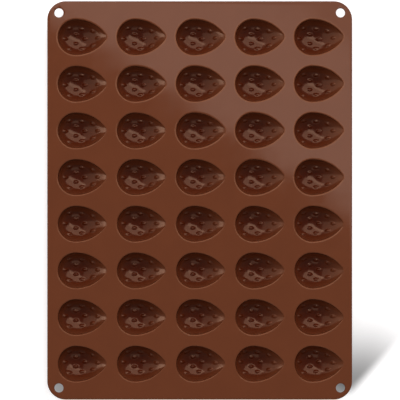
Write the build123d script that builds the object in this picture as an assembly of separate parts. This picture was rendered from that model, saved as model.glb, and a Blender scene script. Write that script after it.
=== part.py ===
from build123d import *
from math import acos, degrees, hypot, sqrt
import os

# Silicone baking mould: a thin sheet that carries a field of half-berry cups.
# It lies as it is used. The cups hang below the sheet and stand on z = 0, their
# mouths open to +Z, +X runs from the blunt ends of the berries to their tips,
# and the origin is under the middle of the sheet. All sizes are in millimetres.

# Sheet
sheet_width = 300.0
sheet_length = 392.0
sheet_thickness = 2.0
sheet_corner_radius = 18.0
sheet_edge_rounding = 0.8

# Round holes, one in each corner of the sheet
corner_hole_diameter = 9.0
corner_hole_inset = 11.5
corner_hole_rounding = 0.6

# Field of cups
columns = 5
rows = 8
column_pitch = 58.2
row_pitch = 45.9

# Berry: a body of revolution about its long axis. Its blunt end is a ball, its
# flanks are arcs, and a small ball closes the tip.
berry_length = 47.4
berry_radius = 17.45
berry_tip_radius = 5.2
# The blunt ball's centre lies this far back from the middle of the cup's cell
blunt_setback = 5.6
# The long axis lies this far above the sheet, which gives the walls their draft
axis_lift = 1.5

# Cup: its wall, the flat foot that it stands on, the collar that joins it to
# the sheet, and the roundings of its lip and of its root under the collar
cup_wall = 1.9
foot_cut = 0.4
collar_width = 3.2
lip_rounding = 0.8
root_rounding = 0.9

# Seed nubs that stand up from the cup's wall. Each is given by its place along
# the berry, from the blunt ball's centre, and by its distance from the long
# axis. A nub beside the axis has a twin on the other side.
nubs_on_axis = [-11.8, 7.6, 20.1]
nubs_beside_axis = [(-7.4, 10.2), (-2.3, 4.5), (5.0, 9.8), (16.1, 7.1)]
nub_half_length = 2.6
nub_radius = 1.5
nub_height = 0.95

# Heights that follow from these
cup_depth = berry_radius - axis_lift
sheet_top = cup_depth + cup_wall - foot_cut
sheet_underside = sheet_top - sheet_thickness
axis_height = sheet_top + axis_lift

# The berry's arcs: each flank runs level from the blunt ball's widest place and
# meets the tip ball without a corner, which settles its radius and its centre
tip_centre_x = berry_length - berry_radius - berry_tip_radius
flank_radius = (tip_centre_x**2 + berry_radius**2 - berry_tip_radius**2) / (
    2 * (berry_radius - berry_tip_radius)
)
flank_centre_y = berry_radius - flank_radius
tip_turn = degrees(acos(tip_centre_x / hypot(tip_centre_x, flank_centre_y)))


def berry_outline(grow):
    """Blunt end, flank and tip of the berry's outline on its +Y side, moved outwards by grow."""
    return [
        CenterArc((0, 0), berry_radius + grow, 90, 90),
        CenterArc((0, flank_centre_y), flank_radius + grow, tip_turn, 90 - tip_turn),
        CenterArc((tip_centre_x, 0), berry_tip_radius + grow, 0, tip_turn),
    ]


def half_berry(grow, top):
    """The lower half of the berry, moved outwards by grow and cut off at the heights 0 and top."""
    back, front = -berry_radius - grow, tip_centre_x + berry_tip_radius + grow
    profile = make_face([*berry_outline(grow), Line((back, 0), (front, 0))])
    berry = Pos(0, 0, axis_height) * revolve(profile, Axis.X, -180)
    reach = 2 * berry_length
    return berry & Pos(0, 0, top / 2) * Box(reach, reach, top)


def berry_prism(grow):
    """The berry's whole outline, moved outwards by grow, through the sheet's thickness."""
    outline = berry_outline(grow)
    face = make_face([*outline, *[mirror(edge, Plane.XZ) for edge in outline]])
    return Pos(0, 0, sheet_underside) * extrude(face, sheet_thickness)


def berry_section(x):
    """Radius of the berry at x along its long axis, and how fast it grows there."""
    if x < 0:
        radius = sqrt(berry_radius**2 - x**2)
        return radius, -x / radius
    height = sqrt(flank_radius**2 - x**2)
    return flank_centre_y + height, -x / height


def nub_capsule(x, y):
    """A capsule that lies along the berry and is sunk in its surface by the nub's height."""
    radius, slope = berry_section(x)
    side, down = y / radius, sqrt(1 - (y / radius) ** 2)
    outwards = Vector(-slope, side, -down).normalized()
    along = Vector(1, slope * side, -slope * down).normalized()
    surface = Vector(x, y, axis_height - radius * down)
    straight = 2 * (nub_half_length - nub_radius)
    capsule = Rot(0, 90, 0) * Cylinder(nub_radius, straight)
    capsule += [Pos(end * straight / 2, 0, 0) * Sphere(nub_radius) for end in (-1, 1)]
    centre = surface + outwards * (nub_radius - nub_height)
    return Plane(centre, x_dir=along, z_dir=outwards) * capsule


def inner_edges(solid, height):
    """The edges round the opening of a solid's level face at a height."""
    level = solid.faces().filter_by(Plane.XY).filter_by_position(Axis.Z, height, height)
    return level[0].inner_wires()[0].edges()


def build_cup():
    """One cup with its collar, with the blunt ball's centre on x = 0, y = 0."""
    cup = half_berry(cup_wall, sheet_underside) + berry_prism(collar_width)
    cup = fillet(inner_edges(cup, sheet_underside), root_rounding)
    nubs = [(x, 0) for x in nubs_on_axis]
    nubs += [(x, y * twin) for x, y in nubs_beside_axis for twin in (1, -1)]
    cup -= half_berry(0, sheet_top) - [nub_capsule(x, y) for x, y in nubs]
    return fillet(inner_edges(cup, sheet_top), lip_rounding)


def build_sheet(cells):
    """The sheet, with its corner holes and an opening for each cup's collar."""
    outline = RectangleRounded(sheet_width, sheet_length, sheet_corner_radius)
    sheet = Pos(0, 0, sheet_underside) * extrude(outline, sheet_thickness)
    sheet = fillet(sheet.faces().sort_by(Axis.Z)[-1].edges(), sheet_edge_rounding)
    hole = Cylinder(corner_hole_diameter / 2, sheet_thickness)
    spread_x = sheet_width / 2 - corner_hole_inset
    spread_y = sheet_length / 2 - corner_hole_inset
    middle_height = sheet_top - sheet_thickness / 2
    for side_x in (-1, 1):
        for side_y in (-1, 1):
            sheet -= Pos(spread_x * side_x, spread_y * side_y, middle_height) * hole
    rims = sheet.edges().filter_by(GeomType.CIRCLE).filter_by_position(Axis.Z, sheet_top, sheet_top)
    rims = rims.filter_by(lambda rim: abs(rim.radius - corner_hole_diameter / 2) < 0.01)
    sheet = fillet(rims, corner_hole_rounding)
    opening = berry_prism(collar_width)
    return sheet - [cell * opening for row in cells for cell in row]


cells = [
    [
        Pos(
            (column - (columns - 1) / 2) * column_pitch - blunt_setback,
            ((rows - 1) / 2 - row) * row_pitch,
            0,
        )
        for column in range(columns)
    ]
    for row in range(rows)
]
os.makedirs("parts", exist_ok=True)
export_step(build_sheet(cells), "parts/top_sheet.step")
cup = build_cup()
for number, row in enumerate(cells, start=1):
    export_step(Compound([cell * cup for cell in row]), f"parts/cup_row_{number}.step")
print("berry flank radius", round(flank_radius, 2), "sheet top", round(sheet_top, 2))
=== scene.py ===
import bpy
import bmesh
from math import acos, cos, hypot, pi, radians, sin, sqrt
from mathutils import Matrix, Vector, noise


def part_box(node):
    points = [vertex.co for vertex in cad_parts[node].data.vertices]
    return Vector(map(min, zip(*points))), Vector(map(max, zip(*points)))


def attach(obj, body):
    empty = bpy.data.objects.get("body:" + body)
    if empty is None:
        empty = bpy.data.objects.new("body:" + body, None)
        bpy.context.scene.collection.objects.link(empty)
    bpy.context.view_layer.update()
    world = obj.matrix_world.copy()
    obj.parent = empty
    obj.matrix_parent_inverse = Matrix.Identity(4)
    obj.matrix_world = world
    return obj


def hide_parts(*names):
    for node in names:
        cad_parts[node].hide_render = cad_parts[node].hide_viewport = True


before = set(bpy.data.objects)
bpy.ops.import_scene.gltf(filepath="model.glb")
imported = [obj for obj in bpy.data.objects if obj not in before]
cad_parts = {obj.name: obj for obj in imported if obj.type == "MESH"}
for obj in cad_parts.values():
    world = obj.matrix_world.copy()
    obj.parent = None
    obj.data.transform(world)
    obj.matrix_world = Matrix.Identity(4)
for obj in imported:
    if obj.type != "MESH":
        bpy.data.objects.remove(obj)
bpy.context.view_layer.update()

# A brown silicone baking mould that lies on a pale table, seen from straight above.
# The mould's sizes are in millimetres, the studio's in metres, and the scene itself is in metres.

mm = 0.001
up = Vector((0, 0, 1))

# Places that the frame gives
sheetLow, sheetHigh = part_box("top_sheet")
sheetTop = sheetHigh.z / mm
sheetUnder = sheetLow.z / mm
rowNames = sorted(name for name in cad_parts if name.startswith("cup_row_"))


# Turns a bmesh into an object with its place in its mesh.
def newObject(name, bm, smooth=True):
    mesh = bpy.data.meshes.new(name)
    bm.to_mesh(mesh)
    bm.free()
    for face in mesh.polygons:
        face.use_smooth = smooth
    obj = bpy.data.objects.new(name, mesh)
    bpy.context.scene.collection.objects.link(obj)
    return obj


# Lists the vertices by their places and the faces by their vertices, the same way in each run.
def settleOrder(bm):
    ranks = {v: k for k, v in enumerate(sorted(bm.verts, key=lambda v: v.co[:]))}

    def faceRank(face):
        low, middle, high = sorted(ranks[v] for v in face.verts)[:3]
        return (low * len(ranks) + middle) * len(ranks) + high

    bm.faces.sort(key=faceRank)
    bm.verts.sort(key=lambda v: ranks[v])


# Berry outline: arcs that meet without a corner, each point named by its outward direction

berry = {
    "columns": 5,          # cups in a row
    "length": 47.4,
    "radius": 17.45,       # ball at the blunt end
    "tipRadius": 5.2,
    "collar": 3.2,         # flat rim that belongs to the cup
    "collarRings": (2.5, 1.65),    # reach of the loops on it
    "lip": 0.9,            # drop of the rounded mouth, and how far it reaches outwards
    "lipReach": 1.25,
    "wall": 1.9,
    "root": 0.9,           # rounding under the collar
    "footCut": 0.4,        # cut off below, so that the cup stands flat
    "depth": 15.95,
    "deepest": 2.2,        # from the ball centre towards the tip
    "sideFulness": 0.38,   # powers of the bowl's three slopes: less is squarer, with a steeper wall
    "bluntFulness": 0.34,
    "tipFulness": 1.1,
    "bluntFlatness": 2.4,  # how long the floor stays level along the berry, 2 for a plain arc
    "tipFlatness": 1.8,
    "narrowest": 0.001,    # half width at the very ends, so that nothing is divided by zero
    "tipSteps": 12,
    "flankSteps": 34,
    "bluntSteps": 60,
    "bowlRings": 55,
    "outsideRings": 9,
    "lipRings": 7,
    "rootRings": 3,
    "sharpAngle": 75.0,    # steeper edges aren't shaded smooth
}
tipX = berry["length"] - berry["radius"] - berry["tipRadius"]
flankRadius = (tipX**2 + berry["radius"]**2 - berry["tipRadius"]**2) / (
    2 * (berry["radius"] - berry["tipRadius"])
)
flankY = berry["radius"] - flankRadius
tipTurn = acos(tipX / hypot(tipX, flankY))
berryEnd = tipX + berry["tipRadius"]


# Directions of the outline's points, evenly spaced along each arc, once round.
def outlineDirections():
    half = [tipTurn * k / berry["tipSteps"] for k in range(berry["tipSteps"])]
    half += [tipTurn + (pi / 2 - tipTurn) * k / berry["flankSteps"] for k in range(berry["flankSteps"])]
    half += [pi / 2 + pi / 2 * k / berry["bluntSteps"] for k in range(berry["bluntSteps"])]
    return half + [pi] + [2 * pi - turn for turn in reversed(half[1:])]


# Point of the outline, moved outwards by grow, from the ball centre.
def outlinePoint(turn, grow=0.0):
    fromTip = min(turn, 2 * pi - turn)
    side = 1 if turn <= pi else -1
    if fromTip <= tipTurn:
        centre, radius = (tipX, 0.0), berry["tipRadius"]
    elif fromTip < pi / 2:
        centre, radius = (0.0, flankY * side), flankRadius
    else:
        centre, radius = (0.0, 0.0), berry["radius"]
    reach = radius + grow
    return Vector((centre[0] + reach * cos(turn), centre[1] + reach * sin(turn)))


directions = outlineDirections()


# Half width of the outline, moved outwards by grow, at a place along the berry.
def halfWidth(x, grow):
    if x < 0:
        return sqrt(max(0.0, (berry["radius"] + grow) ** 2 - x**2))
    flank = flankY + sqrt((flankRadius + grow) ** 2 - x**2)
    joint = tipX + (berry["tipRadius"] + grow) * cos(tipTurn)
    if x < joint:
        return flank
    return sqrt(max(0.0, (berry["tipRadius"] + grow) ** 2 - (x - tipX) ** 2))


# Point of a bowl, station 0 at its rim and 1 at its deepest place.
def bowlPoint(turn, station, grow, rim, depth):
    middle = Vector((berry["deepest"], 0))
    flat = middle + (outlinePoint(turn, grow) - middle) * cos(station * pi / 2)
    end, side = (-berry["radius"] - grow, "blunt") if flat.x < middle.x else (berryEnd + grow, "tip")
    along = min(1.0, (flat.x - middle.x) / (end - middle.x))
    lengthwise = (1 - along ** berry[side + "Flatness"]) ** berry[side + "Fulness"]
    across = min(1.0, abs(flat.y) / max(halfWidth(flat.x, grow), berry["narrowest"]))
    return flat.x, flat.y, rim - depth * lengthwise * (1 - across**2) ** berry["sideFulness"]


# Pulls a closed ring of vertices on to the next places and returns the new ring.
def extrudeRing(bm, ring, places):
    edges = [bm.edges.get((ring[k - 1], ring[k])) for k in range(len(ring))]
    made = bmesh.ops.extrude_edge_only(bm, edges=edges)["geom"]
    fresh = {v for v in made if isinstance(v, bmesh.types.BMVert)}
    following = []
    for old, place in zip(ring, places):
        new = next(edge.other_vert(old) for edge in old.link_edges if edge.other_vert(old) in fresh)
        new.co = Vector(place)
        following.append(new)
    return following


# Seed nubs: small drops that stand up from the bowl, each given from the ball centre

nubs = {
    "onAxis": [-11.8, 7.6, 21.0],
    "beside": [(-7.4, 10.2), (-1.2, 4.7), (5.0, 9.8), (16.1, 7.1)],    # each has a twin
    "halfLength": 3.5,
    "halfWidth": 2.15,
    "height": 1.2,
    "taper": 0.25,         # narrower towards the berry's tip
    "tipFade": 15.0,       # lower ones this near to the tip
    "softness": 1.9,       # power of the nub's dome: more gives it a softer foot
}


# Lifts the bowl's vertices into soft drops along the bowl's own surface.
def raiseNubs(bm, bowlVerts):
    places = [(x, 0.0) for x in nubs["onAxis"]]
    places += [(x, y * twin) for x, y in nubs["beside"] for twin in (1, -1)]
    bm.normal_update()
    normals = {v: v.normal.copy() for v in bowlVerts}
    starts = {v: v.co.copy() for v in bowlVerts}
    for x, y in places:
        height = nubs["height"] * min(1.0, (berryEnd - x) / nubs["tipFade"])
        nearest = min(bowlVerts, key=lambda v: (starts[v].x - x) ** 2 + (starts[v].y - y) ** 2)
        outwards = normals[nearest]
        side = outwards.cross(Vector((1, 0, 0))).normalized()
        along = side.cross(outwards).normalized()
        for v in bowlVerts:
            away = starts[v] - starts[nearest]
            if away.length > 2 * nubs["halfLength"]:
                continue
            lengthwise = away.dot(along) / nubs["halfLength"]
            width = nubs["halfWidth"] * (1 - nubs["taper"] * lengthwise)
            far = hypot(lengthwise, away.dot(side) / width)
            if far < 1:
                v.co += outwards * height * (1 - far**2) ** nubs["softness"]


# One cup, closed all round, in millimetres from its ball centre.
def cupMesh():
    bm = bmesh.new()

    def levelRing(grow, z):
        return [(*outlinePoint(turn, grow), z) for turn in directions]

    edgeRing = bmesh.ops.create_circle(bm, segments=len(directions))["verts"]
    for v, place in zip(edgeRing, levelRing(berry["collar"], sheetUnder)):
        v.co = place

    # underneath: in to the root, round it and down the outside to the flat foot
    ring = edgeRing
    for k in range(berry["rootRings"] + 1):
        bend = pi / 2 * k / berry["rootRings"]
        grow = berry["wall"] + berry["root"] * (1 - sin(bend))
        ring = extrudeRing(bm, ring, levelRing(grow, sheetUnder - berry["root"] * (1 - cos(bend))))
    rim = sheetUnder - berry["root"]
    depth = rim + berry["footCut"]
    for k in range(1, berry["outsideRings"] + 1):
        station = k / (berry["outsideRings"] + 1)
        places = [bowlPoint(turn, station, berry["wall"], rim, depth) for turn in directions]
        ring = extrudeRing(bm, ring, [(x, y, max(z, 0.0)) for x, y, z in places])
    footPole = extrudeRing(bm, ring, [(berry["deepest"], 0, 0)] * len(directions))

    # on top: over the collar, round the lip and down into the bowl
    ring = extrudeRing(bm, edgeRing, levelRing(berry["collar"], sheetTop))
    for grow in berry["collarRings"]:
        ring = extrudeRing(bm, ring, levelRing(grow, sheetTop))
    outsideFaces = bm.faces[:]
    for k in range(berry["lipRings"] + 1):
        bend = pi / 2 * k / berry["lipRings"]
        grow = berry["lipReach"] * (1 - sin(bend))
        ring = extrudeRing(bm, ring, levelRing(grow, sheetTop - berry["lip"] * (1 - cos(bend))))
    rim = sheetTop - berry["lip"]
    depth = berry["depth"] - berry["lip"]
    bowl = []
    for k in range(1, berry["bowlRings"] + 1):
        station = k / (berry["bowlRings"] + 1)
        ring = extrudeRing(bm, ring, [bowlPoint(turn, station, 0.0, rim, depth) for turn in directions])
        bowl += ring
    bowlPole = extrudeRing(bm, ring, [(berry["deepest"], 0, rim - depth)] * len(directions))

    bmesh.ops.recalc_face_normals(bm, faces=bm.faces)
    raiseNubs(bm, bowl)
    for face in outsideFaces:
        face.material_index = 1    # the collar and the outside have the sheet's finish
    for pole in (footPole, bowlPole):
        bmesh.ops.pointmerge(bm, verts=pole, merge_co=pole[0].co)
    settleOrder(bm)
    return bm


# The sheet isn't quite level: it swells a little between the cups and sags as a whole

waves = {
    "ridge": 0.10,         # height of the swelling along the gaps between rows and columns
    "pitchX": 58.2,
    "pitchY": 45.9,
    "sag": 0.25,
    "sagSize": 170.0,
    "dent": 0.12,          # each bowl is a little uneven
    "dentSize": 7.5,
    "dentFades": 3.0,      # below the sheet's top
    "footFades": 1.4,      # above the feet
}


# How far the skin lies below its level place.
def waveDrop(x, y):
    acrossGap = 0.5 + 0.5 * cos(2 * pi * x / waves["pitchX"])
    alongGap = 0.5 - 0.5 * cos(2 * pi * y / waves["pitchY"])
    ridges = waves["ridge"] * (2 - acrossGap - alongGap) / 2
    bend = 0.5 + 0.5 * noise.noise(Vector((x, y, 0)) / waves["sagSize"])
    return ridges + waves["sag"] * bend


# Lowers every vertex by the wave over it, fading to nothing at the feet.
def layWaves(bm):
    for v in bm.verts:
        height = max(0.0, v.co.z)
        dent = waves["dent"] * (0.5 + 0.5 * noise.noise(v.co / waves["dentSize"]))
        dent *= min(1.0, height / waves["footFades"])
        dent *= min(1.0, max(0.0, sheetTop - height) / waves["dentFades"])
        v.co.z -= waveDrop(v.co.x, v.co.y) * height / sheetTop + dent


# Ball centres of one row's cups, seen from above.
def cupCentres(name):
    low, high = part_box(name)
    first = low.x / mm + berry["radius"] + berry["collar"]
    last = high.x / mm - berry["length"] + berry["radius"] - berry["collar"]
    y = (low.y + high.y) / 2 / mm
    gaps = berry["columns"] - 1
    return [Vector((first + (last - first) * k / gaps, y)) for k in range(berry["columns"])]


# Lays the waves over a finished bmesh, and turns it into an object in metres.
def finishedPiece(name, bm, sharpAngle):
    layWaves(bm)
    bmesh.ops.scale(bm, vec=Vector((mm, mm, mm)), verts=bm.verts)
    obj = newObject(name, bm)
    obj.data.set_sharp_from_angle(angle=radians(sharpAngle))
    return obj


# The five cups of one row, joined in one mesh.
def cupRow(name):
    bm = bmesh.new()
    for centre in cupCentres(name):
        before = len(bm.verts)
        bm.from_mesh(cupPattern)
        bm.verts.ensure_lookup_table()
        bmesh.ops.translate(bm, vec=centre.to_3d(), verts=bm.verts[before:])
    return finishedPiece(name.replace("cup_row", "berry_cups_row"), bm, berry["sharpAngle"])


sheet = {
    "cornerRadius": 18.0,
    "cornerSteps": 14,
    "edgeRounding": 1.3,
    "edgeSteps": 5,
    "holeRadius": 4.5,
    "holeInset": 11.5,
    "holeRounding": 0.6,
    "holeSteps": 56,
    "flareSteps": 4,
    "gridStep": 3.0,
    "cutterReach": 1.0,    # the cutters stick out this far above and below
    "weld": 0.0005,        # points of a pin that are nearer than this become one
    "levelSlack": 0.01,    # what still counts as level with the top
    "sharpAngle": 35.0,
}


# Rounds off the edges or corners of a bmesh.
def roundOff(bm, geom, affect, size, steps):
    bmesh.ops.bevel(bm, geom=geom, offset=size, offset_type="OFFSET", affect=affect, segments=steps,
                    profile=0.5, material=-1)


# Pulls level faces up by a height.
def pullUp(bm, faces, height):
    made = bmesh.ops.extrude_face_region(bm, geom=faces)["geom"]
    risen = [v for v in made if isinstance(v, bmesh.types.BMVert)]
    bmesh.ops.translate(bm, vec=up * height, verts=risen)


# The sheet without its openings: rounded corners, a rounded top edge and a fine grid.
def sheetBlank():
    width, length = (sheetHigh.x - sheetLow.x) / mm, (sheetHigh.y - sheetLow.y) / mm
    bm = bmesh.new()
    bmesh.ops.create_grid(bm, x_segments=1, y_segments=1, size=0.5)
    bmesh.ops.scale(bm, vec=Vector((width, length, 1)), verts=bm.verts)
    roundOff(bm, bm.verts[:], "VERTICES", sheet["cornerRadius"], sheet["cornerSteps"])
    bmesh.ops.translate(bm, vec=up * sheetUnder, verts=bm.verts)
    pullUp(bm, bm.faces[:], sheetTop - sheetUnder)
    bmesh.ops.recalc_face_normals(bm, faces=bm.faces)
    level = sheetTop - sheet["levelSlack"]
    rim = [edge for edge in bm.edges
           if all(v.co.z > level for v in edge.verts) and len(edge.link_faces) == 2
           and any(abs(face.normal.z) < 0.5 for face in edge.link_faces)]
    roundOff(bm, rim, "EDGES", sheet["edgeRounding"], sheet["edgeSteps"])
    for axis, size in ((Vector((1, 0, 0)), width), (Vector((0, 1, 0)), length)):
        count = int(size / 2 / sheet["gridStep"])
        for k in range(-count, count + 1):
            bmesh.ops.bisect_plane(bm, geom=bm.verts[:] + bm.edges[:] + bm.faces[:],
                                   plane_co=axis * k * sheet["gridStep"], plane_no=axis)
    return newObject("sheet_blank", bm)


# Prisms for the cups' collars and flared pins for the corner holes.
def sheetCutters():
    bottom, top = sheetUnder - sheet["cutterReach"], sheetTop + sheet["cutterReach"]
    bm = bmesh.new()
    for name in rowNames:
        for centre in cupCentres(name):
            made = bmesh.ops.create_circle(bm, segments=len(directions), cap_ends=True)["verts"]
            for v, turn in zip(made, directions):
                v.co = (*(centre + outlinePoint(turn, berry["collar"])), bottom)
            pullUp(bm, list(made[0].link_faces), top - bottom)
    radius, rounding = sheet["holeRadius"], sheet["holeRounding"]
    profile = [(0, bottom), (radius, bottom), (radius, sheetTop - rounding)]
    for k in range(1, sheet["flareSteps"] + 1):
        bend = pi / 2 * k / sheet["flareSteps"]
        profile.append((radius + rounding * (1 - cos(bend)), sheetTop - rounding * (1 - sin(bend))))
    profile += [(radius + rounding, top), (0, top)]
    for sideX in (-1, 1):
        for sideY in (-1, 1):
            x = sideX * (sheetHigh.x / mm - sheet["holeInset"])
            y = sideY * (sheetHigh.y / mm - sheet["holeInset"])
            verts = [bm.verts.new((x + r, y, z)) for r, z in profile]
            edges = [bm.edges.new(pair) for pair in zip(verts, verts[1:])]
            bmesh.ops.spin(bm, geom=verts + edges, cent=Vector((x, y, 0)), axis=up, angle=2 * pi,
                           steps=sheet["holeSteps"], use_merge=True)
    bmesh.ops.remove_doubles(bm, verts=bm.verts, dist=sheet["weld"])
    bmesh.ops.recalc_face_normals(bm, faces=bm.faces)
    return newObject("sheet_cutters", bm)


# The sheet with an opening for each collar and a round hole in each corner.
def mouldSheet():
    blank, cutters = sheetBlank(), sheetCutters()
    cut = blank.modifiers.new("openings", "BOOLEAN")
    cut.operation = "DIFFERENCE"
    cut.solver = "EXACT"
    cut.object = cutters
    cutMesh = bpy.data.meshes.new_from_object(blank.evaluated_get(bpy.context.evaluated_depsgraph_get()))
    bm = bmesh.new()
    bm.from_mesh(cutMesh)
    for helper in (blank, cutters):
        bpy.data.objects.remove(helper)
    settleOrder(bm)
    return finishedPiece("mould_sheet", bm, sheet["sharpAngle"])


# Silicone skin: one group of colour with painted shade deep in the hollows, roughness and fine height,
# placed in each finish

skinPattern = {
    "cloud": (45, 3),      # scale and detail of each noise
    "film": (130, 4),
    "grain": (900, 3),
    "filmRange": (0.3, 0.7),           # noise at which the gloss is smooth, and at which it is dull
    "paintedShadeHeights": (0.0168, 0.0020),   # heights between which the painted shade of the hollows sets in, in metres
    "grainHeight": 0.00005,
}


# Colour, roughness and height of moulded silicone, from a place on the piece; the colour turns to a painted
# shade colour deeper down.
def skinGroup():
    group = bpy.data.node_groups.new("siliconeSkin", "ShaderNodeTree")
    for way, sockets in (
        ("INPUT", (("Place", "Vector"), ("Deep Colour", "Color"), ("Pale Colour", "Color"),
                   ("Painted Shade Colour", "Color"), ("Smooth", "Float"), ("Dull", "Float"))),
        ("OUTPUT", (("Colour", "Color"), ("Roughness", "Float"), ("Height", "Float"))),
    ):
        for name, kind in sockets:
            group.interface.new_socket(name=name, in_out=way, socket_type="NodeSocket" + kind)
    nodes, links = group.nodes, group.links
    given = nodes.new("NodeGroupInput")
    out = nodes.new("NodeGroupOutput")

    def noiseOf(name):
        texture = nodes.new("ShaderNodeTexNoise")
        texture.inputs["Scale"].default_value, texture.inputs["Detail"].default_value = skinPattern[name]
        links.new(given.outputs["Place"], texture.inputs["Vector"])
        return texture.outputs["Fac"]

    def ramp(value, limits):
        node = nodes.new("ShaderNodeMapRange")
        node.inputs["From Min"].default_value, node.inputs["From Max"].default_value = limits
        links.new(value, node.inputs["Value"])
        return node

    def mixed(amount, first, second):
        node = nodes.new("ShaderNodeMix")
        node.data_type = "RGBA"
        for socket, value in zip((node.inputs[0], node.inputs[6], node.inputs[7]), (amount, first, second)):
            links.new(value, socket)
        return node.outputs[2]

    cloudy = mixed(noiseOf("cloud"), given.outputs["Deep Colour"], given.outputs["Pale Colour"])
    # painted shade: below the sheet's top the colour goes over to the darker shade colour, fully near the
    # bowls' floor
    parts = nodes.new("ShaderNodeSeparateXYZ")
    links.new(given.outputs["Place"], parts.inputs[0])
    paintedShadeAmount = ramp(parts.outputs["Z"], skinPattern["paintedShadeHeights"])
    links.new(mixed(paintedShadeAmount.outputs["Result"], cloudy, given.outputs["Painted Shade Colour"]), out.inputs["Colour"])
    gloss = ramp(noiseOf("film"), skinPattern["filmRange"])
    links.new(given.outputs["Smooth"], gloss.inputs["To Min"])
    links.new(given.outputs["Dull"], gloss.inputs["To Max"])
    links.new(gloss.outputs["Result"], out.inputs["Roughness"])
    links.new(noiseOf("grain"), out.inputs["Height"])
    return group


# A satin silicone with the shared skin in it.
def siliconeFinish(name, values):
    material = bpy.data.materials.new(name)
    material.use_nodes = True
    nodes, links = material.node_tree.nodes, material.node_tree.links
    shader = nodes["Principled BSDF"]
    shader.inputs["IOR"].default_value = values["ior"]
    shader.inputs["Specular Tint"].default_value = (*values["shine"], 1)
    skin = nodes.new("ShaderNodeGroup")
    skin.node_tree = skinTree
    skin.inputs["Deep Colour"].default_value = (*values["deep"], 1)
    skin.inputs["Pale Colour"].default_value = (*values["pale"], 1)
    skin.inputs["Painted Shade Colour"].default_value = (*values["paintedShade"], 1)
    skin.inputs["Smooth"].default_value = values["smooth"]
    skin.inputs["Dull"].default_value = values["dull"]
    place = nodes.new("ShaderNodeTexCoord")
    links.new(place.outputs["Object"], skin.inputs["Place"])
    bump = nodes.new("ShaderNodeBump")
    bump.inputs["Strength"].default_value = values["grain"]
    bump.inputs["Distance"].default_value = skinPattern["grainHeight"]
    links.new(skin.outputs["Height"], bump.inputs["Height"])
    links.new(skin.outputs["Colour"], shader.inputs["Base Color"])
    links.new(skin.outputs["Roughness"], shader.inputs["Roughness"])
    links.new(bump.outputs["Normal"], shader.inputs["Normal"])
    return material


sheetFinish = {
    "deep": (0.142, 0.0434, 0.0186),
    "pale": (0.166, 0.0508, 0.0214),
    # painted shade colour, here just the deep colour, so the sheet and the cups' outside hardly darken
    "paintedShade": (0.142, 0.0434, 0.0186),
    "shine": (1.0, 1.0, 1.0),
    "smooth": 0.06,
    "dull": 0.11,
    "grain": 0.10,
    "ior": 1.43,
}
cupFinish = {
    **sheetFinish,
    # painted shade: the darker, redder colour that stands for the shade deep in the bowls
    "paintedShade": (0.068, 0.0084, 0.0015),
    "shine": (1.0, 0.78, 0.62),
    "smooth": 0.10,
    "dull": 0.17,
    "grain": 0.15,
    "ior": 1.64,
}

cupBuild = cupMesh()
cupPattern = bpy.data.meshes.new("cup_pattern")
cupBuild.to_mesh(cupPattern)
cupBuild.free()
print("cup pattern ready", len(cupPattern.polygons))

skinTree = skinGroup()
sheetSilicone = siliconeFinish("sheet_silicone", sheetFinish)
cupSilicone = siliconeFinish("cup_silicone", cupFinish)

for name in rowNames:
    row = cupRow(name)
    row.data.materials.append(cupSilicone)
    row.data.materials.append(sheetSilicone)
    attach(row, "root")
    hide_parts(name)
print("cups ready")

sheetPiece = mouldSheet()
sheetPiece.data.materials.clear()
sheetPiece.data.materials.append(sheetSilicone)
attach(sheetPiece, "root")
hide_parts("top_sheet")
print("sheet ready", len(sheetPiece.data.polygons))


# Lights: plain panels that stand where the reflections need them, a soft key and a pale room

# Each panel lies between two lines, given by their distance and height in its heading
panels = {
    "near_panel": {
        "turn": 33.0, "near": (0.164, 1.50), "far": (0.47, 1.42),
        "left": 2.2, "right": 0.46, "radiance": 1.87,
    },
    "far_panel": {
        "turn": 33.0, "near": (0.47, 1.42), "far": (1.25, 0.95),
        "left": 1.9, "right": 0.62, "radiance": 1.1,
    },
    "side_panel": {
        "turn": -90.0, "near": (1.5, 0.36), "far": (1.5, 0.02),
        "left": 0.30, "right": 0.34, "radiance": 1.9,
    },
    "side_upper": {
        "turn": -90.0, "near": (0.9, 1.25), "far": (1.5, 0.36),
        "left": 0.25, "right": 1.3, "radiance": 0.42,
    },
    "low_panel": {
        "turn": 180.0, "near": (0.85, 1.30), "far": (1.15, 1.05),
        "left": 0.30, "right": 0.45, "radiance": 0.45,
    },
}
panelColour = (1.0, 0.78, 0.66)


# A glowing panel that faces the mould.
def lightPanel(name, values):
    turn = radians(values["turn"])
    heading = Vector((sin(turn), cos(turn), 0))
    across = heading.cross(up)
    start = heading * values["near"][0] + up * values["near"][1]
    end = heading * values["far"][0] + up * values["far"][1]
    centre = (start + end) / 2 + across * (values["right"] - values["left"]) / 2
    width, length = values["left"] + values["right"], (end - start).length
    downhill = (end - start).normalized()
    back = across.cross(downhill)
    if back.dot(centre) < 0:
        across, back = -across, -back
    lamp = bpy.data.lights.new(name, "AREA")
    lamp.shape = "RECTANGLE"
    lamp.size, lamp.size_y = width, length
    lamp.energy = values["radiance"] * pi * width * length
    lamp.color = panelColour
    obj = bpy.data.objects.new(name, lamp)
    bpy.context.scene.collection.objects.link(obj)
    turned = Matrix((across, downhill, back)).transposed().to_4x4()
    obj.matrix_world = Matrix.Translation(centre) @ turned
    obj.visible_camera = False


keyLight = {
    "energy": 0.95,
    "turn": 28.0,
    "elevation": 42.0,
    "angle": 24.0,
}


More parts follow.
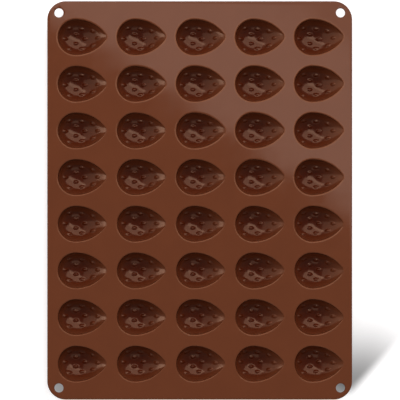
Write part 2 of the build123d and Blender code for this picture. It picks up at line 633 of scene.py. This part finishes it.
# A soft sun that lights matt surfaces and isn't seen in glossy ones.
def keyLamp():
    turn, rise = radians(keyLight["turn"]), radians(keyLight["elevation"])
    lamp = bpy.data.lights.new("key_lamp", "SUN")
    lamp.angle = radians(keyLight["angle"])
    lamp.energy = keyLight["energy"]
    obj = bpy.data.objects.new("key_lamp", lamp)
    bpy.context.scene.collection.objects.link(obj)
    towardsKey = Vector((sin(turn) * cos(rise), cos(turn) * cos(rise), sin(rise)))
    obj.rotation_mode = "QUATERNION"
    obj.rotation_quaternion = towardsKey.to_track_quat("Z", "Y")
    obj.visible_glossy = False


room = {
    "seen": 1.0,
    "fill": 0.33,          # what the room gives to matt surfaces
    "shine": 0.095,        # what it shows in glossy ones
}


# A white background, dimmer for every ray that doesn't come from the camera.
def roomLight():
    world = bpy.data.worlds.new("studio_world")
    bpy.context.scene.world = world
    world.use_nodes = True
    nodes, links = world.node_tree.nodes, world.node_tree.links
    sky = nodes["Background"]
    sky.inputs["Color"].default_value = (1, 1, 1, 1)
    path = nodes.new("ShaderNodeLightPath")
    strength = sky.inputs["Strength"]
    for ray, level in (("Is Camera Ray", room["seen"]), ("Is Glossy Ray", room["shine"])):
        choice = nodes.new("ShaderNodeMix")
        links.new(path.outputs[ray], choice.inputs["Factor"])
        choice.inputs["B"].default_value = level
        choice.inputs["A"].default_value = room["fill"]
        links.new(choice.outputs["Result"], strength)
        strength = choice.inputs["A"]


# Table: white, with a painted soft shadow that leaves the mould's lower right corner, and painted
# shade under the mould that grows darker towards its lower edge

floor = {
    "halfSize": 6.0,
    "gap": 0.0001,                  # under the feet
    "colour": (0.76, 0.80, 0.84),
    "roughness": 0.9,
    "glow": 0.60,
    "shadeCorner": (0.1567, -0.1817),
    "shadeTurn": 47.2,              # heading of the painted shadow's lower edge, from +X
    "shadeStart": (-0.022, -0.004),    # it sets in over this stretch, before its corner
    "shadeReach": 0.093,
    "shadeEdge": (-0.0094, 0.0040),
    "shadeWidth": 0.066,
    "shadeDepth": 0.737,
    "dimMiddle": (0.0, -0.1235),
    "dimHalf": (0.1405, 0.0635),
    "dimFade": (0.010, 0.003),
    "dimGrows": (-0.06, -0.18),
    "dimDepth": 0.64,
}


# The table's material, with the painted shadow and the painted shade under the mould drawn in it.
def tableFinish():
    material = bpy.data.materials.new("table_white")
    material.use_nodes = True
    nodes, links = material.node_tree.nodes, material.node_tree.links
    shader = nodes["Principled BSDF"]
    shader.inputs["Roughness"].default_value = floor["roughness"]
    shader.inputs["Specular IOR Level"].default_value = 0.0
    shader.inputs["Emission Color"].default_value = (1, 1, 1, 1)
    place = nodes.new("ShaderNodeTexCoord").outputs["Object"]

    def distanceAlong(heading):
        product = nodes.new("ShaderNodeVectorMath")
        product.operation = "DOT_PRODUCT"
        links.new(place, product.inputs[0])
        product.inputs[1].default_value = heading.to_3d()
        return product.outputs["Value"], heading.dot(Vector(floor["shadeCorner"]))

    def ramp(measured, start, end):
        node = nodes.new("ShaderNodeMapRange")
        node.interpolation_type = "SMOOTHSTEP"
        value, origin = measured
        links.new(value, node.inputs["Value"])
        node.inputs["From Min"].default_value = origin + start
        node.inputs["From Max"].default_value = origin + end
        return node.outputs["Result"]

    def combined(operation, first, second):
        node = nodes.new("ShaderNodeMath")
        node.operation = operation
        for socket, value in zip(node.inputs, (first, second)):
            if isinstance(value, float):
                socket.default_value = value
            else:
                links.new(value, socket)
        return node.outputs["Value"]

    # the painted shadow: a soft wedge off the mould's lower right corner, made from four ramps
    turn = radians(floor["shadeTurn"])
    forward = distanceAlong(Vector((cos(turn), sin(turn))))
    sideways = distanceAlong(Vector((-sin(turn), cos(turn))))
    shade = floor["shadeDepth"]
    for part in (ramp(forward, *floor["shadeStart"]), ramp(forward, floor["shadeReach"], 0.0),
                 ramp(sideways, *floor["shadeEdge"]), ramp(sideways, floor["shadeWidth"], 0.0)):
        shade = combined("MULTIPLY", shade, part)

    # the painted shade under the mould: a rectangle with soft edges, by the distance from it, darker
    # towards the mould's lower edge
    away = place
    for operation, amount in (("SUBTRACT", floor["dimMiddle"]), ("ABSOLUTE", None),
                              ("SUBTRACT", floor["dimHalf"]), ("MAXIMUM", (0.0, 0.0)), ("LENGTH", None)):
        step = nodes.new("ShaderNodeVectorMath")
        step.operation = operation
        links.new(away, step.inputs[0])
        if amount:
            step.inputs[1].default_value = (*amount, 0.0)
        away = step.outputs["Value" if operation == "LENGTH" else "Vector"]
    parts = nodes.new("ShaderNodeSeparateXYZ")
    links.new(place, parts.inputs[0])
    dim = combined("MULTIPLY", ramp((away, 0), *floor["dimFade"]),
                   ramp((parts.outputs["Y"], 0), *floor["dimGrows"]))
    dim = combined("MULTIPLY", dim, floor["dimDepth"])

    # the painted shadow and the painted shade darken both the table's colour and its glow
    light = combined("MULTIPLY", combined("SUBTRACT", 1.0, shade), combined("SUBTRACT", 1.0, dim))
    tone = nodes.new("ShaderNodeMix")
    tone.data_type = "RGBA"
    links.new(light, tone.inputs[0])
    tone.inputs[6].default_value = (0.0, 0.0, 0.0, 1)
    tone.inputs[7].default_value = (*floor["colour"], 1)
    links.new(tone.outputs[2], shader.inputs["Base Color"])
    path = nodes.new("ShaderNodeLightPath")
    seen = combined("MULTIPLY", path.outputs["Is Camera Ray"], floor["glow"])
    links.new(combined("MULTIPLY", seen, light), shader.inputs["Emission Strength"])
    return material


def layTable():
    bm = bmesh.new()
    bmesh.ops.create_grid(bm, x_segments=1, y_segments=1, size=floor["halfSize"])
    bmesh.ops.translate(bm, vec=up * -floor["gap"], verts=bm.verts)
    table = newObject("table", bm, smooth=False)
    table.data.materials.append(tableFinish())


view = {
    "place": (0.0003, 0.0004),
    "distance": 1.140,     # above the sheet
    "focalPixels": 1160,
    "pictureWidth": 400,
    "sensor": 36.0,
}


# The camera looks straight down, as the photo does.
def placeCamera():
    lens = bpy.data.cameras.new("camera")
    lens.sensor_width = view["sensor"]
    lens.lens = view["sensor"] * view["focalPixels"] / view["pictureWidth"]
    camera = bpy.data.objects.new("camera", lens)
    bpy.context.scene.collection.objects.link(camera)
    camera.location = (*view["place"], sheetHigh.z + view["distance"])
    bpy.context.scene.camera = camera


bpy.context.scene.view_settings.view_transform = "Standard"
for name, values in panels.items():
    lightPanel(name, values)
keyLamp()
roomLight()
layTable()
placeCamera()
print("studio ready")
